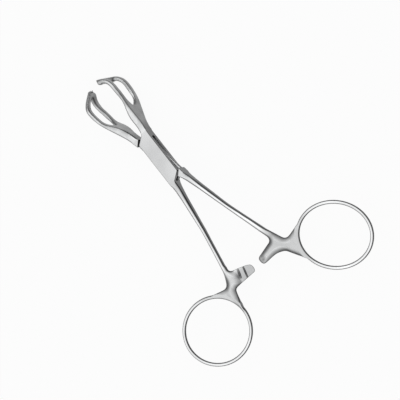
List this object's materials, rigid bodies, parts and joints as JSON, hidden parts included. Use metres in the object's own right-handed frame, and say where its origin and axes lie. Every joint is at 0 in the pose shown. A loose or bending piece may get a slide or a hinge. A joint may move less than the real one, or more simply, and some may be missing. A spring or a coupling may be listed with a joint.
{
  "type": "tissue holding forceps",
  "caption": "Steel tissue holding forceps: crossed arms on a box lock, finger rings, ratchet bars and open-framed curved jaws whose pointed teeth mesh at the tips.",
  "frame": {"origin": "on the joint pin's axis, in the back face of the box lock", "axes": "+Y from the box lock to the jaws, +Z along the joint pin from the back face to the front face, +X to the right seen from the front with the jaws up"},
  "size_m": [0.1127, 0.1436, 0.015],
  "materials": {
    "arm_steel": "satin-polished stainless steel",
    "pin_steel": "satin-polished stainless steel, ground flush with the box"
  },
  "bodies": {
    "female_arm": {"female_arm": "arm_steel", "joint_pin": "pin_steel"},
    "male_arm": {"male_arm": "arm_steel"}
  },
  "joints": [
    {"name": "box_lock_hinge", "type": "hinge", "parent": "female_arm", "child": "male_arm", "pos_m": [0, 0, 0.0028], "axis": [0, 0, 1], "range_deg": [-8.5, 42]}
  ]
}
